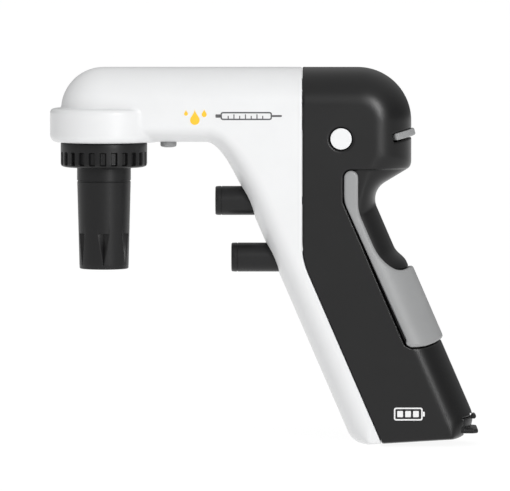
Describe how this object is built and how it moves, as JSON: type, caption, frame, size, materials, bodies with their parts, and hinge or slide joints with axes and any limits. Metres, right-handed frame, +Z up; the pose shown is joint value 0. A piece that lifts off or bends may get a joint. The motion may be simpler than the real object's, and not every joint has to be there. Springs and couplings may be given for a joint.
{
  "type": "motorized pipette controller",
  "caption": "Pistol-grip motorized pipette controller with push triggers, ribbed collar nut and nose cone, speed lever, mode button, fold-out bench stand and charging flap.",
  "frame": {"origin": "middle of the bounding box's bottom face", "axes": "+Z up, X along the head from the nose (-X) to the handle (+X), Y across the housing"},
  "size_m": [0.1796, 0.0452, 0.1582],
  "materials": {
    "white_plastic": "satin white",
    "black_plastic": "satin black",
    "grey_plastic": "satin light grey",
    "dark_plastic": "fine matt charcoal",
    "mid_grey_plastic": "satin mid grey",
    "clear_rubber": "milky silicone",
    "rubber": "black rubber",
    "steel": "zinc plated steel",
    "cell_wrap": "shrink wrap",
    "board_green": "solder mask",
    "wire_red": "wire insulation",
    "wire_black": "wire insulation"
  },
  "bodies": {
    "housing": {"aspirate_stop_ring": "dark_plastic", "battery_cell_front": "cell_wrap", "battery_cell_rear": "cell_wrap", "battery_tray": "dark_plastic", "battery_wire_black": "wire_black", "battery_wire_red": "wire_red", "board_chip": "dark_plastic", "board_connector": "white_plastic", "case_screw_lower": "steel", "case_screw_middle": "steel", "case_screw_upper": "steel", "charging_socket": "dark_plastic", "circuit_board": "board_green", "contact_bottom": "steel", "contact_top": "steel", "dispense_stop_ring": "dark_plastic", "front_shell_left": "white_plastic", "front_shell_right": "white_plastic", "lower_trigger_switch": "dark_plastic", "mode_switch": "dark_plastic", "nose_gasket": "rubber", "nose_hose": "clear_rubber", "nose_socket": "grey_plastic", "pressure_hose": "clear_rubber", "pump_head": "dark_plastic", "pump_motor": "steel", "rear_shell_left": "black_plastic", "rear_shell_right": "black_plastic", "screw_cap_left": "white_plastic", "screw_cap_right": "white_plastic", "speed_potentiometer": "steel", "stand_pin_left": "steel", "stand_pin_right": "steel", "suction_hose": "clear_rubber", "upper_trigger_switch": "dark_plastic", "valve_block": "grey_plastic"},
    "stand": {"bench_stand": "grey_plastic"},
    "aspirate": {"aspirate_trigger": "dark_plastic", "aspirate_spring": "steel"},
    "dispense": {"dispense_trigger": "dark_plastic", "dispense_spring": "steel"},
    "mode": {"mode_button": "mid_grey_plastic"},
    "lever": {"speed_lever": "grey_plastic"},
    "nose": {"nose_cone": "dark_plastic", "pipette_adapter": "clear_rubber", "membrane_filter": "white_plastic"},
    "collar": {"collar_nut": "dark_plastic"},
    "flap": {"port_flap": "dark_plastic"}
  },
  "joints": [
    {"name": "stand_hinge", "type": "hinge", "parent": "housing", "child": "stand", "pos_m": [0.03632, 0, 0.11241], "axis": [0, -1, 0], "range_deg": [0, 80]},
    {"name": "aspirate_push", "type": "slide", "parent": "housing", "child": "aspirate", "axis": [1, 0, 0], "range_m": [0, 0.006], "stiffness_N_per_m": 400, "springref_m": -0.003},
    {"name": "dispense_push", "type": "slide", "parent": "housing", "child": "dispense", "axis": [1, 0, 0], "range_m": [0, 0.006], "stiffness_N_per_m": 400, "springref_m": -0.003},
    {"name": "mode_push", "type": "slide", "parent": "housing", "child": "mode", "axis": [0, 0, 1], "range_m": [0, 0.0012], "stiffness_N_per_m": 600, "springref_m": -0.0006},
    {"name": "lever_turn", "type": "hinge", "parent": "housing", "child": "lever", "pos_m": [0.04632, 0, 0.12711], "axis": [-0.2419, 0, 0.9703], "range_deg": [0, 33]},
    {"name": "nose_drop", "type": "slide", "parent": "housing", "child": "nose", "axis": [0, 0, -1], "range_m": [0, 0.006]},
    {"name": "collar_turn", "type": "hinge", "parent": "nose", "child": "collar", "pos_m": [-0.06718, 0, 0.11621], "axis": [0, 0, -1], "range_deg": [0, 1080]},
    {"name": "flap_turn", "type": "hinge", "parent": "housing", "child": "flap", "pos_m": [0.08811, 0, 0.01154], "axis": [0, -1, 0], "range_deg": [0, 100]}
  ],
  "couplings": [
    {"joint": "collar_turn", "follows": "nose_drop", "rad_per_m": 3141.6}
  ]
}
